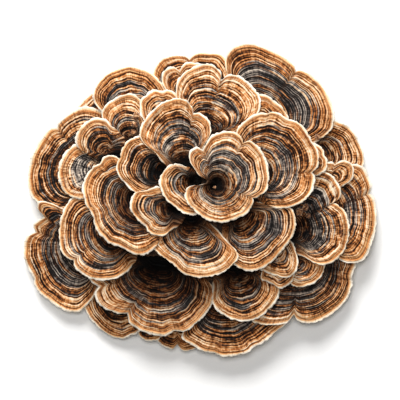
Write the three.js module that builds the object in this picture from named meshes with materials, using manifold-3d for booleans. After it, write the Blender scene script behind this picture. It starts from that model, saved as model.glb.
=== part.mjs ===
// Turkey tail mushroom: a picked rosette of overlapping fan-shaped caps on one cut base.
// Millimetres, +Z up. The rosette lies face up, and its cut base rests on z = 0.
// Each cap grew outward from its own centre and is a separate shelf, named for its place
// in the plan: +X is right, +Y is top. Caps are listed from the lowest to the highest.

import * as THREE from "three";
import Module from "manifold-3d";
import { mergeVertices } from "three/addons/utils/BufferGeometryUtils.js";

const wasm = await Module();
wasm.setup();

// Driving dimensions.
const growthAxis = new THREE.Vector2(3, 3);
const growthRadius = 64;
const growthEdgeHeight = 6;
const baseRadius = 50;
const baseFootRadius = 42;
const growthTopHeight = 34;
const baseSides = 36;
const baseRings = 6;
const growthShoulder = 1.6;
const groundClearance = 2;
const layerGap = 0.5;
const trimGap = 0.3;
const marginThickness = 1.2;
const centreThickness = 2;
const segmentLength = 5.4;
const fewestSides = 16;
const budSides = 10;
const weldDistance = 1e-3;
const steepestBend = 0.25;
const wavelength = 34;
const waveHeight = 0.7;
const surveyStep = 1;
const surveyHalfWidth = 92;

// The section of a cap from its centre to its margin: how far out (0 to 1), upper or lower face.
const capSection = [[0, 1], [0.38, 1], [0.72, 1], [1, 1], [1, 0], [0.72, 0], [0.38, 0], [0, 0]];

// The section of a bud of radius 1, from the middle of its foot up to its crown.
const budSection = [
  [0, 0], [0.55, 0.02], [0.7, 0.5], [1, 1.05], [0.95, 1.6], [0.55, 2.05], [0, 2.2],
];

// One entry per cap: the centre it grew from, the points that its visible rim passes, how far
// the rim stands above the centre (cup), how much the shelf tips along its heading (tilt, mm
// per mm) and how far its hidden back reaches behind the centre (back, 0 where all is seen).
const caps = [
  {
    name: "skirt_cap_bottom",
    centre: [-11, -56],
    rim: [[-22, -69.5], [-18.5, -73.5], [-14, -75], [-11.5, -73.5], [-8, -76], [-4, -75.5], [0, -72]],
    cup: 1, tilt: -0.16, back: 10,
  },
  {
    name: "skirt_cap_bottom_left",
    centre: [-25, -57],
    rim: [[-31, -67], [-28.5, -70], [-25, -71], [-20, -69.5], [-17, -66]],
    cup: 1, tilt: -0.16, back: 9,
  },
  {
    name: "outer_cap_bottom",
    centre: [12.5, -48],
    rim: [[-9, -67], [-8.5, -70], [-4, -72.5], [1, -75.5], [6, -76.5], [12, -78.5], [20.5, -77.5],
      [24.5, -76], [26.5, -74], [29, -73], [32.5, -71], [37, -67], [43.5, -60]],
    cup: 2.5, tilt: -0.12, back: 9,
  },
  {
    name: "skirt_cap_lower_left",
    centre: [-41, -47],
    rim: [[-59, -51], [-57.5, -56], [-53.5, -62], [-47.5, -67], [-39.5, -70], [-35.5, -68.5],
      [-31, -66.5], [-26, -60]],
    cup: 1, tilt: -0.16, back: 8,
  },
  {
    name: "skirt_cap_upper_left",
    centre: [-50, 42],
    rim: [[-62.5, 43], [-61.5, 47], [-58.5, 51], [-54, 54.5], [-48, 55]],
    cup: 1, tilt: -0.16, back: 9,
  },
  {
    name: "outer_cap_top",
    centre: [-3, 48],
    rim: [[-23.5, 61], [-23, 65], [-20.5, 69.5], [-14.5, 72.5], [-8, 72.5], [-5.5, 71.5],
      [-2, 73.5], [4.5, 74], [11, 72.5], [15, 67], [15.5, 60]],
    cup: 2.5, tilt: -0.12, back: 8,
  },
  {
    name: "skirt_cap_upper_right",
    centre: [60, 22],
    rim: [[64, 41], [67.5, 40], [72, 38.5], [76.5, 35.5], [80, 29.5], [82.5, 23], [82, 17], [78, 11]],
    cup: 1, tilt: -0.16, back: 12,
  },
  {
    name: "outer_cap_left",
    centre: [-55, 14],
    rim: [[-47, 42], [-49, 44.5], [-54.5, 46.5], [-59.5, 47], [-67, 43], [-71.5, 39], [-72.5, 37],
      [-75.5, 36], [-79.5, 31.5], [-84, 24], [-86, 16.5], [-86.5, 9], [-85, 2.5], [-81, -2],
      [-74, -6]],
    cup: 2.5, tilt: -0.12, back: 11,
  },
  {
    name: "outer_cap_upper_right",
    centre: [31, 42],
    rim: [[12.5, 70], [16, 76], [22, 78.5], [29.5, 77.5], [39.5, 73], [46.5, 68], [48.5, 65],
      [50.5, 65], [55, 63], [62.5, 56], [66.5, 47], [67.2, 41], [66, 36], [63.5, 33], [60.5, 30.5],
      [55, 28]],
    cup: 2.5, tilt: -0.12, back: 8,
  },
  {
    name: "outer_cap_lower_right",
    centre: [49, -32],
    rim: [[76, -26], [78.5, -31], [76.5, -38], [76.5, -43], [74, -49.5], [68.5, -55.5],
      [61.5, -60], [54.5, -62], [49, -60.5], [46.5, -58.5], [43.5, -61.5], [33, -62.5],
      [25, -60], [21, -54]],
    cup: 2.5, tilt: -0.12, back: 8,
  },
  {
    name: "outer_cap_right",
    centre: [60, -7],
    rim: [[74, 17.5], [81.5, 17], [84, 13.5], [86.5, 7.5], [86, 4], [88, -0.5], [88.7, -7],
      [88.5, -13.5], [86, -22.5], [83, -29], [78.5, -31.5], [72, -31]],
    cup: 2.5, tilt: -0.12, back: 13,
  },
  {
    name: "outer_cap_lower_left",
    centre: [-58, -23],
    rim: [[-76, -1], [-81, -1], [-81.5, -4], [-79, -8], [-84, -12.5], [-83.7, -15.5],
      [-87.5, -18.5], [-88.8, -27], [-87, -34], [-84, -39], [-83, -44], [-75, -51.5], [-67, -56],
      [-61, -56.3], [-57, -53], [-52, -46]],
    cup: 2.5, tilt: -0.12, back: 10,
  },
  {
    name: "outer_cap_upper_left",
    centre: [-33, 41],
    rim: [[-53, 49], [-53.5, 55], [-51, 59], [-47.5, 62.5], [-42, 65.5], [-36.5, 67], [-31, 66.5],
      [-26, 64.5], [-21.5, 61], [-17, 55], [-14, 47]],
    cup: 2.5, tilt: -0.12, back: 8,
  },
  {
    name: "small_cap_top",
    centre: [-6, 50],
    rim: [[-19, 59], [-17.5, 65], [-13.5, 66.5], [-10.5, 65.5], [-7, 68.5], [-2, 68.5], [3, 66],
      [6, 60]],
    cup: 1.5, tilt: -0.08, back: 6,
  },
  {
    name: "small_cap_upper_right",
    centre: [30, 38],
    rim: [[24, 52], [30, 53], [34.5, 51.5], [38.5, 48.5], [42, 45], [44.5, 40], [44, 34]],
    cup: 1.5, tilt: -0.08, back: 6,
  },
  {
    name: "middle_cap_lower_left",
    centre: [-22, -36],
    rim: [[-53, -34], [-55.5, -39], [-51.5, -43.5], [-52.5, -46.5], [-50, -52.5], [-41.5, -56.5],
      [-36.5, -57.5], [-35, -61.5], [-29, -65.5], [-18.5, -68], [-12.5, -65.5], [-7, -65.5],
      [-3.5, -63], [2.5, -57.5], [6, -52], [7, -44]],
    cup: 3.5, tilt: -0.1, back: 8,
  },
  {
    name: "middle_cap_bottom",
    centre: [19, -38],
    rim: [[7.5, -33], [6.5, -38.5], [6, -45.5], [6.5, -52.5], [11, -57], [17.5, -60],
      [22.5, -60.5], [28, -59.5], [36, -53], [39.5, -47], [39, -42], [36, -37]],
    cup: 3.5, tilt: -0.1, back: 7,
  },
  {
    name: "small_cap_lower_right",
    centre: [48, -31],
    rim: [[60, -28], [62.5, -33], [61.5, -36.5], [58, -41], [53.5, -43], [49, -43.5], [45, -42],
      [40, -38]],
    cup: 1.5, tilt: -0.08, back: 6,
  },
  {
    name: "small_cap_right",
    centre: [65, 10],
    rim: [[61, 18.5], [64.5, 19.2], [68.3, 19], [72, 20], [75, 19], [77, 16], [76, 10]],
    cup: 1.5, tilt: -0.08, back: 7,
  },
  {
    name: "middle_cap_right",
    centre: [46, -14],
    rim: [[56, 14], [60.5, 14.7], [65, 13], [68.5, 9], [70.5, 4.5], [69, 0.3], [65, -0.6],
      [69, -2.5], [72.5, -6], [74.5, -12.5], [74, -19.5], [71.5, -26], [67, -30.5], [61.5, -32.5],
      [57.5, -31.7], [53.5, -29.5], [48, -27], [43, -24]],
    cup: 3.5, tilt: -0.1, back: 8,
  },
  {
    name: "ruffled_cap_lower_right",
    centre: [38, -32],
    rim: [[30, -39], [33, -40.5], [36, -42], [39.5, -44], [43, -43], [45.5, -41], [47, -37]],
    cup: 1, tilt: -0.06, back: 5,
  },
  {
    name: "inner_cap_lower_right",
    centre: [37, -23],
    rim: [[45, -20], [47.5, -25], [48.7, -29], [48.5, -33.5], [46, -37.5], [41.5, -38.7],
      [37.5, -37.7], [33, -36], [28, -33]],
    cup: 2, tilt: -0.08, back: 6,
  },
  {
    name: "middle_cap_left_low",
    centre: [-45, -17],
    rim: [[-60, 2], [-64, 1], [-68, -4.5], [-70, -10.5], [-70.5, -17], [-69.8, -24], [-67.5, -28],
      [-63.8, -30.5], [-62, -34], [-56, -38.5], [-50, -40], [-41.5, -39], [-34.5, -34], [-31, -27]],
    cup: 3.5, tilt: -0.1, back: 8,
  },
  {
    name: "middle_cap_upper_left",
    centre: [-34.5, 30],
    rim: [[-48, 39], [-49, 44], [-46.5, 48], [-43, 50.5], [-38.5, 52.5], [-35, 53], [-31.5, 52],
      [-28, 48], [-25, 42]],
    cup: 3.5, tilt: -0.1, back: 7,
  },
  {
    name: "middle_cap_left_high",
    centre: [-51, 14.5],
    rim: [[-59, 28.5], [-63.5, 27.5], [-67, 24.5], [-69.5, 20.5], [-71, 15], [-70.3, 8.5],
      [-68.5, 5], [-66, 2.5], [-62, 0.8], [-57, 0.5]],
    cup: 2, tilt: -0.1, back: 6,
  },
  {
    name: "middle_cap_left_top",
    centre: [-46, 23],
    rim: [[-58, 24], [-62, 27.5], [-62.3, 30.5], [-61, 34], [-59, 37], [-56, 39.5], [-52.5, 41],
      [-49, 41], [-46.5, 40], [-44.5, 37.7], [-41, 34.5], [-37, 29]],
    cup: 2, tilt: -0.08, back: 6,
  },
  {
    name: "small_cap_upper_left",
    centre: [-18, 41],
    rim: [[-28.5, 40], [-30, 45.5], [-29.5, 49.5], [-26, 53.5], [-22.5, 55], [-18.8, 54.2],
      [-16, 55], [-13, 53.5], [-10, 50], [-8, 45]],
    cup: 1.5, tilt: -0.08, back: 7,
  },
  {
    name: "inner_cap_top",
    centre: [3, 35],
    rim: [[-11, 48], [-12, 55], [-11, 59.5], [-8.5, 62.5], [-5, 65], [-2, 66.5], [1.5, 67.6],
      [5, 67.5], [8, 66], [10.5, 63.2], [10.8, 60], [13.5, 61.8], [17.5, 62.2], [22.5, 59.7],
      [26.8, 55.5], [29.2, 52.5], [30.2, 47.5], [28.5, 42], [25, 37]],
    cup: 4.5, tilt: -0.06, back: 7,
  },
  {
    name: "inner_cap_lower_middle",
    centre: [20, -8],
    rim: [[42, -3], [46, -5], [47.3, -11], [46.2, -17], [43, -22], [39.5, -26.5], [35, -31],
      [30, -34.2], [25.5, -35.2], [20.5, -34.3], [15, -30], [11, -24]],
    cup: 4.5, tilt: -0.06, back: 7,
  },
  {
    name: "inner_cap_bottom",
    centre: [-3, -13],
    rim: [[-24, -19], [-23, -24], [-18.5, -28], [-13.5, -31.5], [-9.5, -35.5], [-3.5, -38],
      [3.5, -38], [11, -36], [17, -31.2], [19, -28], [17.8, -24.8], [14, -21], [9, -15]],
    cup: 4.5, tilt: -0.06, back: 7,
  },
  {
    name: "inner_cap_left",
    centre: [-33, -1],
    rim: [[-38, 18.5], [-41.5, 21.5], [-45, 22.3], [-48, 21], [-50, 18], [-53, 16.5], [-56, 13],
      [-58.7, 6.5], [-57.7, 2], [-56.5, -2.5], [-53.8, -6.5], [-52.5, -11.5], [-50.8, -15.5],
      [-47.5, -19.2], [-44.5, -21.7], [-40, -23], [-34, -26], [-29, -27.3], [-24, -25.5],
      [-20, -19]],
    cup: 5, tilt: -0.06, back: 8,
  },
  {
    name: "inner_cap_narrow_right",
    centre: [53, 19],
    rim: [[56, 28.5], [58.5, 27.7], [61.8, 25.3], [62, 22.5], [63.3, 20], [63.5, 17], [62, 14],
      [58, 12]],
    cup: 1, tilt: -0.05, back: 6,
  },
  {
    name: "inner_cap_right",
    centre: [28.5, 14],
    rim: [[18, 34], [20.5, 37.7], [25.5, 41.6], [30, 43.2], [32.5, 42.7], [35.5, 43.7],
      [40.5, 42.2], [43, 40.3], [48.5, 38.5], [52, 35], [55.5, 29], [57.5, 26], [58.7, 21.5],
      [58.5, 17], [56.5, 13.5], [57, 10.5], [56, 5.5], [53.5, 1.5], [49.5, -1.5], [44.5, -3.6],
      [38, -4.2], [33, -2.7], [29, 0]],
    cup: 6, tilt: -0.02, back: 8,
  },
  {
    name: "inner_cap_upper_left",
    centre: [-18, 13],
    rim: [[-26, 31], [-29.5, 31.7], [-35, 29.7], [-38, 26.2], [-39.7, 21], [-41.2, 17.5],
      [-40.5, 12.5], [-37, 8], [-32, 3.5], [-27, 2.5], [-22, 4]],
    cup: 6, tilt: -0.04, back: 7,
  },
  {
    name: "crown_cap_upper_left",
    centre: [-8, 19],
    rim: [[-12, 14.5], [-17, 17], [-22, 23], [-26, 26.3], [-29, 29.5], [-30, 33], [-29, 36.5],
      [-26.5, 40.7], [-21.5, 46], [-16, 49.2], [-10.5, 50.2], [-6.5, 49], [-4, 46.3], [-3, 43.3],
      [-0.5, 43.2], [3, 41], [5.2, 37.5], [5.2, 32.5], [3, 28.5], [1, 24]],
    cup: 6, tilt: 0, back: 7,
  },
  {
    name: "crown_cap_lower_left",
    centre: [-14.5, -4.5],
    rim: [[-17, 6], [-20, 6.7], [-23.5, 6.2], [-27, 4.6], [-31.5, 4], [-34, 0.3], [-34.6, -3.5],
      [-32.7, -7.5], [-29.5, -11], [-27.2, -13], [-26, -15.2], [-23, -17.2], [-18.5, -17.8],
      [-15.7, -16.4], [-13.7, -14.6], [-10.7, -13.2], [-8, -10.5], [-7, -6]],
    cup: 6.5, tilt: 0, back: 6,
  },
  {
    name: "crown_cap_left",
    centre: [-4, 8.5],
    rim: [[-1, 14], [-6, 16.2], [-10, 17.6], [-14, 17.6], [-18, 14.2], [-20.2, 9], [-19.3, 4.8],
      [-17, 0.5], [-13.5, -2.7], [-10, -5.3], [-6.5, -7.2], [-1.5, -7]],
    cup: 5, tilt: 0, back: 5,
  },
  {
    name: "crown_cap_centre",
    centre: [8.3, 7.7],
    rim: [[3.3, 9.6], [-0.6, 12.2], [-3.2, 16], [-5.2, 19.5], [-5.2, 23.5], [-2.2, 26.2],
      [0.8, 25.4], [3, 28], [5.5, 31.5], [10.5, 33.5], [15.5, 33.6], [19.5, 31.7], [22, 29],
      [24.7, 29], [28.7, 26.2], [32.2, 20.7], [33.7, 14.5], [33.7, 9], [32.5, 4.5], [28.8, 1.6],
      [26.7, 0.4], [26, -2.2], [22.5, -7], [16.5, -9.8], [10.5, -11.2], [4.5, -10.2],
      [-0.6, -7.2], [-5.1, -3], [-7.6, 2], [-6.4, 5.9], [-3.6, 7.1], [-0.6, 7.3]],
    cup: 9.5, tilt: 0, back: 0,
  },
];

// Young buds: small rounded knobs of new growth in the gaps between caps.
const buds = [
  { name: "bud_crown_centre", at: [7.2, 6.4], radius: 1 },
  { name: "bud_right_1", at: [49.5, -6], radius: 2.2 },
  { name: "bud_right_2", at: [52.5, -3.5], radius: 1.9 },
  { name: "bud_right_3", at: [54, -8], radius: 1.6 },
  { name: "bud_upper_left_1", at: [-31.5, 42], radius: 1.9 },
  { name: "bud_upper_left_2", at: [-32.5, 37.5], radius: 1.7 },
  { name: "bud_upper_left_3", at: [-33, 33.5], radius: 1.5 },
  { name: "bud_upper_right_1", at: [58.5, 31.5], radius: 1.7 },
];

const capColour = 0xa9794c;
const rimColour = 0xd9b385;
const fleshColour = 0xe6d9c0;

function material(colour) {
  return new THREE.MeshStandardMaterial({ color: colour, roughness: 0.85, metalness: 0 });
}

// Joins shared corners and drops the empty triangles at the poles of a turned shape.
function closedBody(geometry) {
  geometry.deleteAttribute("normal");
  geometry.deleteAttribute("uv");
  const merged = mergeVertices(geometry, weldDistance);
  const index = merged.getIndex().array;
  const kept = [];
  for (let i = 0; i < index.length; i += 3) {
    const [a, b, c] = [index[i], index[i + 1], index[i + 2]];
    if (a !== b && b !== c && c !== a) {
      kept.push(a, b, c);
    }
  }
  merged.setIndex(kept);
  return merged;
}

// Turns every triangle over when the closed body faces inwards.
function facingOut(geometry) {
  const at = geometry.getAttribute("position");
  const index = Array.from(geometry.getIndex().array);
  const corner = [0, 1, 2].map(() => new THREE.Vector3());
  let volume = 0;
  for (let i = 0; i < index.length; i += 3) {
    corner.forEach((point, k) => point.fromBufferAttribute(at, index[i + k]));
    volume += corner[0].dot(corner[1].clone().cross(corner[2]));
  }
  if (volume < 0) {
    for (let i = 0; i < index.length; i += 3) {
      [index[i + 1], index[i + 2]] = [index[i + 2], index[i + 1]];
    }
    geometry.setIndex(index);
  }
  return geometry;
}

// The rim points closed behind the centre by the hidden back, as one smooth loop.
function capOutline(cap) {
  const centre = new THREE.Vector3(...cap.centre, 0);
  const points = cap.rim.map(([x, y]) => new THREE.Vector3(x, y, 0));
  const middle = points.reduce((sum, p) => sum.add(p), new THREE.Vector3()).divideScalar(points.length);
  const heading = middle.sub(centre).normalize();
  if (cap.back > 0) {
    points.push(centre.clone().addScaledVector(heading, -cap.back));
  }
  const loop = new THREE.CatmullRomCurve3(points, true, "centripetal");
  const segments = Math.max(fewestSides, Math.round(loop.getLength() / segmentLength));
  return { loop, heading, segments };
}

// One cap: a turned section, from the centre over the upper face, round the margin and back
// along the underside, whose rings are then stretched to the cap's outline and lifted to its
// cup. It grows from the base at its centre, and bends up over whatever it meets on the way.
function capGeometry(cap) {
  const { loop, heading, segments } = capOutline(cap);
  const profile = capSection.map(([reach, level]) => new THREE.Vector2(reach, level));
  const geometry = new THREE.LatheGeometry(profile, segments);
  const at = geometry.getAttribute("position");
  const centre = new THREE.Vector2(...cap.centre);
  const root = domeHeight(centre.distanceTo(growthAxis)) + layerGap + centreThickness;
  const waves = Math.round(loop.getLength() / wavelength);
  for (let i = 0; i < at.count; i += 1) {
    const turn = (Math.floor(i / profile.length) % segments) / segments;
    const { x: reach, y: level } = profile[i % profile.length];
    const edge = loop.getPointAt(turn);
    const x = centre.x + reach * (edge.x - centre.x);
    const y = centre.y + reach * (edge.y - centre.y);
    const forward = (x - centre.x) * heading.x + (y - centre.y) * heading.y;
    const cupped = cap.cup * (1 - (1 - reach) ** 2);
    const wave = waveHeight * reach ** 2 * Math.sin(2 * Math.PI * waves * turn);
    const thickness = THREE.MathUtils.lerp(centreThickness, marginThickness, reach);
    at.setXYZ(i, x, y, root + cupped + cap.tilt * forward + wave - (1 - level) * thickness);
  }
  bendOver(geometry);
  return facingOut(closedBody(geometry));
}

// Raises each corner of a cap until its faces clear the pile, and the rest of the cap with it,
// so that no part of the raised face is steeper than the steepest bend.
function bendOver(geometry) {
  const at = geometry.getAttribute("position");
  const needs = new Float64Array(at.count);
  survey(geometry, (square, height, corners) => {
    const need = pile[square] + layerGap - height;
    corners.forEach((corner) => {
      needs[corner] = Math.max(needs[corner], need);
    });
  });
  const places = Array.from(needs, (need, i) => ({ need, x: at.getX(i), y: at.getY(i) }));
  const pressed = places.filter((place) => place.need > 0);
  places.forEach(({ x, y }, i) => {
    const rise = (place) => place.need - steepestBend * Math.hypot(place.x - x, place.y - y);
    at.setZ(i, at.getZ(i) + Math.max(0, ...pressed.map(rise)));
  });
}

// The caps grow from one low dome about the growth axis.
function domeHeight(radius) {
  const fall = Math.min(1, radius / growthRadius) ** growthShoulder;
  return growthEdgeHeight + (growthTopHeight - growthEdgeHeight) * (1 - fall);
}

// The fused base fills the dome out to its own edge, and narrows to the foot where it was cut.
function baseGeometry() {
  const profile = [new THREE.Vector2(0, 0), new THREE.Vector2(baseFootRadius, 0)];
  for (let ring = baseRings; ring >= 0; ring -= 1) {
    const radius = (baseRadius * ring) / baseRings;
    profile.push(new THREE.Vector2(radius, domeHeight(radius)));
  }
  const geometry = new THREE.LatheGeometry(profile, baseSides);
  geometry.rotateX(Math.PI / 2);
  geometry.translate(growthAxis.x, growthAxis.y, 0);
  return facingOut(closedBody(geometry));
}

// A bud: a rounded knob with a narrower foot, standing on what is under it.
function budGeometry(bud) {
  const profile = budSection.map(([across, up]) => new THREE.Vector2(across, up).multiplyScalar(bud.radius));
  const geometry = new THREE.LatheGeometry(profile, budSides);
  geometry.rotateX(Math.PI / 2);
  geometry.translate(bud.at[0], bud.at[1], 0);
  let lift = 0;
  survey(geometry, (square, height) => {
    lift = Math.max(lift, pile[square] + layerGap - height);
  });
  geometry.translate(0, 0, lift);
  return facingOut(closedBody(geometry));
}

// The survey grid holds, for each square of the plan, how high the pile reaches so far.
const surveySide = Math.round((2 * surveyHalfWidth) / surveyStep) + 1;
const pile = new Float64Array(surveySide * surveySide).fill(groundClearance);

// Visits every grid point that a triangle of the body covers, with the height there.
function survey(geometry, visit) {
  const at = geometry.getAttribute("position");
  const index = geometry.getIndex().array;
  const points = [0, 1, 2].map(() => new THREE.Vector3());
  const cell = (value) => (value + surveyHalfWidth) / surveyStep;
  for (let i = 0; i < index.length; i += 3) {
    const corners = [index[i], index[i + 1], index[i + 2]];
    points.forEach((point, k) => point.fromBufferAttribute(at, corners[k]));
    const [a, b, c] = points;
    const area = (b.x - a.x) * (c.y - a.y) - (c.x - a.x) * (b.y - a.y);
    if (Math.abs(area) < 1e-6) {
      continue;
    }
    const columns = [Math.min(a.x, b.x, c.x), Math.max(a.x, b.x, c.x)].map(cell);
    const rows = [Math.min(a.y, b.y, c.y), Math.max(a.y, b.y, c.y)].map(cell);
    for (let row = Math.ceil(rows[0]); row <= rows[1]; row += 1) {
      for (let column = Math.ceil(columns[0]); column <= columns[1]; column += 1) {
        const x = column * surveyStep - surveyHalfWidth;
        const y = row * surveyStep - surveyHalfWidth;
        const v = ((x - a.x) * (c.y - a.y) - (c.x - a.x) * (y - a.y)) / area;
        const w = ((b.x - a.x) * (y - a.y) - (x - a.x) * (b.y - a.y)) / area;
        if (v >= -0.01 && w >= -0.01 && v + w <= 1.01) {
          const height = a.z + v * (b.z - a.z) + w * (c.z - a.z);
          visit(row * surveySide + column, height, corners);
        }
      }
    }
  }
}

// Adds a body to the pile, so that the next one clears it.
function heap(geometry) {
  survey(geometry, (square, height) => {
    pile[square] = Math.max(pile[square], height);
  });
}

function toSolid(mesh) {
  mesh.updateMatrixWorld(true);
  const geometry = mesh.geometry.clone().applyMatrix4(mesh.matrixWorld);
  const vertProperties = Float32Array.from(geometry.getAttribute("position").array);
  const triVerts = Uint32Array.from(geometry.getIndex().array);
  return new wasm.Manifold(new wasm.Mesh({ numProp: 3, vertProperties, triVerts }));
}

function fromSolid(solid) {
  const { vertProperties, triVerts } = solid.getMesh();
  const geometry = new THREE.BufferGeometry();
  geometry.setAttribute("position", new THREE.Float32BufferAttribute(vertProperties, 3));
  geometry.setIndex(Array.from(triVerts));
  return geometry;
}

// Where two neighbours still touch, the lower one is cut back from the upper one.
function trimBelow(lower, upper) {
  const upperSolid = toSolid(upper);
  const lowerSolid = toSolid(lower);
  if (lowerSolid.intersect(upperSolid).volume() <= 0) {
    return;
  }
  const cleared = lowerSolid.subtract(upperSolid.translate([0, 0, -trimGap])).subtract(upperSolid);
  const pieces = cleared.decompose().sort((a, b) => b.volume() - a.volume());
  lower.geometry = fromSolid(pieces[0]);
}

const rosette = new THREE.Group();

function add(name, geometry, colour) {
  const mesh = new THREE.Mesh(geometry, material(colour));
  mesh.name = name;
  rosette.add(mesh);
  heap(geometry);
}

add("cut_base", baseGeometry(), fleshColour);
caps.forEach((cap) => add(cap.name, capGeometry(cap), capColour));
buds.forEach((bud) => add(bud.name, budGeometry(bud), rimColour));

for (let upper = rosette.children.length - 1; upper > 0; upper -= 1) {
  for (let lower = upper - 1; lower >= 0; lower -= 1) {
    trimBelow(rosette.children[lower], rosette.children[upper]);
  }
}

// The origin is under the middle of the whole rosette, on the surface that it rests on.
const extent = new THREE.Box3().setFromObject(rosette);
const middle = extent.getCenter(new THREE.Vector3());
rosette.position.set(-middle.x, -middle.y, -extent.min.z);

const part = new THREE.Group();
part.add(rosette);

export default part;
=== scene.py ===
import math

import bpy
import numpy as np
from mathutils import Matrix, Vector
from mathutils.bvhtree import BVHTree


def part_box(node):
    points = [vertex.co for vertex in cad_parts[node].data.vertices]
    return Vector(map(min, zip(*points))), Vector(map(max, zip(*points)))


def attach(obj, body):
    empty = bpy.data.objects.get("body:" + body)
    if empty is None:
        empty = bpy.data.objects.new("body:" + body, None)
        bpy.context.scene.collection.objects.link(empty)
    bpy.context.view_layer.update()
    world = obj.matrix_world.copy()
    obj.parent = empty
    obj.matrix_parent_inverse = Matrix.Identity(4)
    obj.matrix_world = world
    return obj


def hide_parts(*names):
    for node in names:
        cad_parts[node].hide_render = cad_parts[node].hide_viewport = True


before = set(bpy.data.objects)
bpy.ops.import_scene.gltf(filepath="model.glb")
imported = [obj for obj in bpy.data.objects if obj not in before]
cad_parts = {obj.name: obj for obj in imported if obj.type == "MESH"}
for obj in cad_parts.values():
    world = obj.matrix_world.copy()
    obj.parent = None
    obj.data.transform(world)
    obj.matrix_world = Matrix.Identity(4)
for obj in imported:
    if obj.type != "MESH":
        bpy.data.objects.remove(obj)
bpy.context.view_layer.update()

# A picked rosette of turkey tail, lying face up: overlapping caps and young buds on one cut
# base. The floor, lamps, camera and buds are in metres. The caps and the base are worked out
# in millimetres, and MM turns those into metres.


# ---------------------------------------------------------------- floor, lamps and camera
# The rosette lies on a plain pale floor and is seen from straight above, with its top at the
# top. One broad soft lamp stands beyond the top edge, and a weak one hangs over the middle.

bpy.ops.object.select_all(action="DESELECT")
bpy.ops.mesh.primitive_plane_add(size=6)
floor = bpy.context.object
floor.name = "floor"


def lamp(name, place, target, size, power):
    bpy.ops.object.light_add(type="AREA", location=place)
    light = bpy.context.object
    light.name = name
    light.data.size = size
    light.data.energy = power
    light.rotation_euler = (Vector(target) - Vector(place)).to_track_quat("-Z", "Y").to_euler()
    return light


lamp("window_lamp", (-0.2, 1.05, 1.1), (0, 0, 0), 0.7, 28.5)
lamp("overhead_lamp", (-0.05, 0.15, 1.7), (0, 0, 0), 0.4, 13.5)

room = bpy.data.worlds.new("room")
bpy.context.scene.world = room
room.use_nodes = True
room.node_tree.nodes["Background"].inputs["Color"].default_value = (1, 1, 1, 1)
room.node_tree.nodes["Background"].inputs["Strength"].default_value = 0.08
bpy.context.scene.view_settings.view_transform = "Standard"

view_width = 0.2
lens_mm = 250
sensor_mm = 36
widest_height = 0.017
camera_height = widest_height + view_width * lens_mm / sensor_mm
bpy.ops.object.camera_add(location=(0, 0, camera_height), rotation=(0, 0, 0))
camera = bpy.context.object
camera.data.lens = lens_mm
camera.data.sensor_width = sensor_mm
camera.data.clip_end = 20
bpy.context.scene.camera = camera


class Wire:
    """A socket of one node tree. Arithmetic on it adds the Math nodes."""

    def __init__(self, finish, socket):
        self.finish = finish
        self.socket = socket

    def _math(self, operation, *values):
        return self.finish.add("ShaderNodeMath", {"operation": operation}, dict(enumerate(values)))

    def __add__(self, other):
        return self._math("ADD", self, other)

    def __radd__(self, other):
        return self._math("ADD", other, self)

    def __sub__(self, other):
        return self._math("SUBTRACT", self, other)

    def __rsub__(self, other):
        return self._math("SUBTRACT", other, self)

    def __mul__(self, other):
        return self._math("MULTIPLY", self, other)

    def __rmul__(self, other):
        return self._math("MULTIPLY", other, self)

    def __truediv__(self, other):
        return self._math("DIVIDE", self, other)

    def sine(self):
        return self._math("SINE", self)


class Finish:
    """A material and the one method that adds any node to its tree."""

    def __init__(self, name):
        self.material = bpy.data.materials.new(name)
        self.material.use_nodes = True
        self.tree = self.material.node_tree
        self.shader = self.tree.nodes["Principled BSDF"]

    def add(self, kind, settings=None, values=None, out=0):
        node = self.tree.nodes.new(kind)
        for name, setting in (settings or {}).items():
            if name == "stops":
                self._stops(node.color_ramp, setting)
            else:
                setattr(node, name, setting)
        self.feed(node, values or {})
        return Wire(self, node.outputs[out])

    def feed(self, node, values):
        for name, value in values.items():
            if isinstance(value, Wire):
                self.tree.links.new(value.socket, node.inputs[name])
            else:
                node.inputs[name].default_value = value

    def _stops(self, ramp, stops):
        while len(ramp.elements) < len(stops):
            ramp.elements.new(1)
        for element, (place, colour) in zip(ramp.elements, stops):
            element.position = place
            element.color = colour

    def mix(self, amount, first, second, blend="MIX"):
        """Between two colours. The sockets 0, 6, 7 and 2 are those of the colour kind."""
        kind = {"data_type": "RGBA", "blend_type": blend}
        return self.add("ShaderNodeMix", kind, {0: amount, 6: first, 7: second}, 2)

    def ramp(self, value, stops):
        return self.add("ShaderNodeValToRGB", {"stops": stops}, {"Fac": value})

    def fade(self, value, low, high):
        """0 below low, 1 above high, smooth between."""
        limits = {"Value": value, "From Min": low, "From Max": high}
        return self.add("ShaderNodeMapRange", {"interpolation_type": "SMOOTHSTEP"}, limits)

    def noise(self, vector, scale, detail=2.0, roughness=0.5):
        values = {"Vector": vector, "Scale": scale, "Detail": detail, "Roughness": roughness}
        return self.add("ShaderNodeTexNoise", {"noise_dimensions": "3D"}, values)

    def vector(self, x, y, z):
        return self.add("ShaderNodeCombineXYZ", {}, {"X": x, "Y": y, "Z": z})

    def parts(self, attribute):
        """The three numbers that a piece's attribute holds."""
        whole = self.add("ShaderNodeAttribute", {"attribute_name": attribute}, {}, "Vector")
        split = self.add("ShaderNodeSeparateXYZ", {}, {"Vector": whole}).socket.node
        return [Wire(self, output) for output in split.outputs]

    def end(self, **sockets):
        self.feed(self.shader, {name.replace("_", " "): value for name, value in sockets.items()})
        return self.material


def colour(red, green, blue):
    """A screen colour, 0 to 255, as the linear colour that a shader takes."""
    linear = [(c / 255 / 12.92) if c <= 10 else ((c / 255 + 0.055) / 1.055) ** 2.4
              for c in (red, green, blue)]
    return (*linear, 1.0)


paper = Finish("pale_floor")
paper_grain = paper.noise(paper.add("ShaderNodeTexCoord", out="Object"), 900.0)
floor.data.materials.append(paper.end(
    Base_Color=paper.mix(paper_grain, colour(247, 246, 244), colour(252, 251, 250)),
    Roughness=0.9))


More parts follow.
